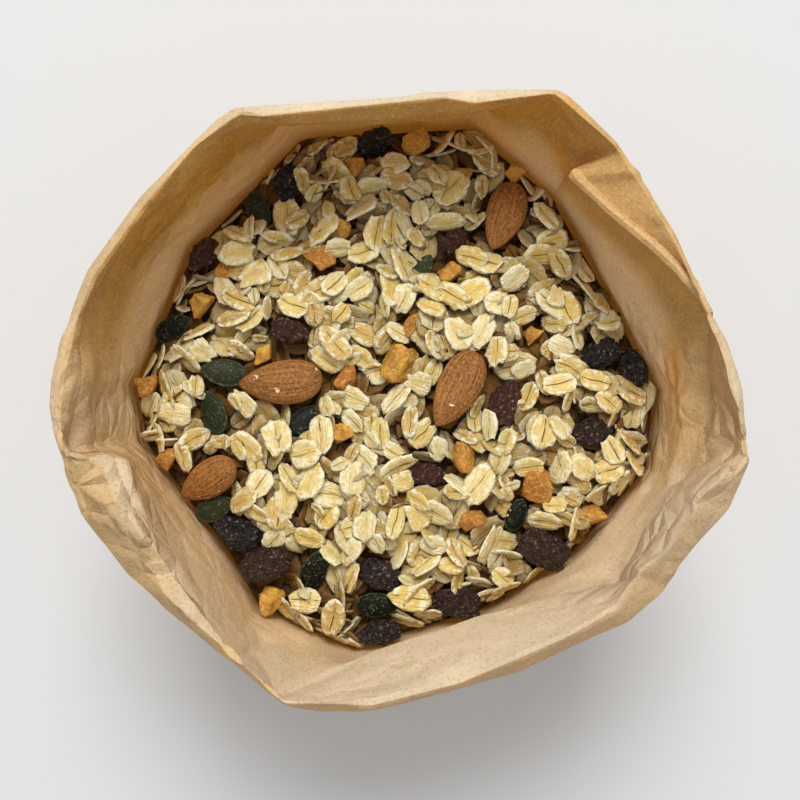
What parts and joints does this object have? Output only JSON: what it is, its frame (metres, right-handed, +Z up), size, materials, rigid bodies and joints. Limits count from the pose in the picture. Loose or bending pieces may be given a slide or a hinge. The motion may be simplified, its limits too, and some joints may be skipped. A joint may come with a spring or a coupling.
{
  "type": "open paper bag of muesli",
  "caption": "Brown paper bag standing open, its top rolled down into a cuff, full of oat flake muesli with almonds, raisins, pumpkin seeds and dried fruit.",
  "frame": {"origin": "on the standing surface, under the middle of the bag's outline", "axes": "+Z up, +X along the bag's long side, -Y the front, which is the lower side of the picture"},
  "size_m": [0.1791, 0.1642, 0.141],
  "materials": {
    "brown_paper": "matte brown wrapping paper with fine fibres, softly creased",
    "oats": "matte cream oat flakes with darker creases",
    "almond_skin": "matte brown skin with fine long ridges",
    "raisin": "dark wrinkled skin with a dull sheen",
    "pumpkin_seed": "dark green satin skin",
    "dried_fruit": "golden, slightly translucent dried fruit"
  },
  "bodies": {
    "root": {"paper_bag": "brown_paper", "muesli": "oats", "almond_1": "almond_skin", "almond_2": "almond_skin", "almond_3": "almond_skin", "almond_4": "almond_skin", "raisin_1": "raisin", "raisin_2": "raisin", "raisin_3": "raisin", "raisin_4": "raisin", "raisin_5": "raisin", "raisin_6": "raisin", "raisin_7": "raisin", "raisin_8": "raisin", "raisin_9": "raisin", "raisin_10": "raisin", "raisin_11": "raisin", "raisin_12": "raisin", "raisin_13": "raisin", "raisin_14": "raisin", "raisin_15": "raisin", "raisin_16": "raisin", "pumpkin_seed_1": "pumpkin_seed", "pumpkin_seed_2": "pumpkin_seed", "pumpkin_seed_3": "pumpkin_seed", "pumpkin_seed_4": "pumpkin_seed", "pumpkin_seed_5": "pumpkin_seed", "pumpkin_seed_6": "pumpkin_seed", "pumpkin_seed_7": "pumpkin_seed", "pumpkin_seed_8": "pumpkin_seed", "pumpkin_seed_9": "pumpkin_seed", "pumpkin_seed_10": "pumpkin_seed", "dried_fruit_1": "dried_fruit", "dried_fruit_2": "dried_fruit", "dried_fruit_3": "dried_fruit", "dried_fruit_4": "dried_fruit", "dried_fruit_5": "dried_fruit", "dried_fruit_6": "dried_fruit", "dried_fruit_7": "dried_fruit", "dried_fruit_8": "dried_fruit", "dried_fruit_9": "dried_fruit", "dried_fruit_10": "dried_fruit", "dried_fruit_11": "dried_fruit", "dried_fruit_12": "dried_fruit", "dried_fruit_13": "dried_fruit", "dried_fruit_14": "dried_fruit", "dried_fruit_15": "dried_fruit", "dried_fruit_16": "dried_fruit", "dried_fruit_17": "dried_fruit", "dried_fruit_18": "dried_fruit", "dried_fruit_19": "dried_fruit", "dried_fruit_20": "dried_fruit", "dried_fruit_21": "dried_fruit", "dried_fruit_22": "dried_fruit"}
  },
  "joints": []
}
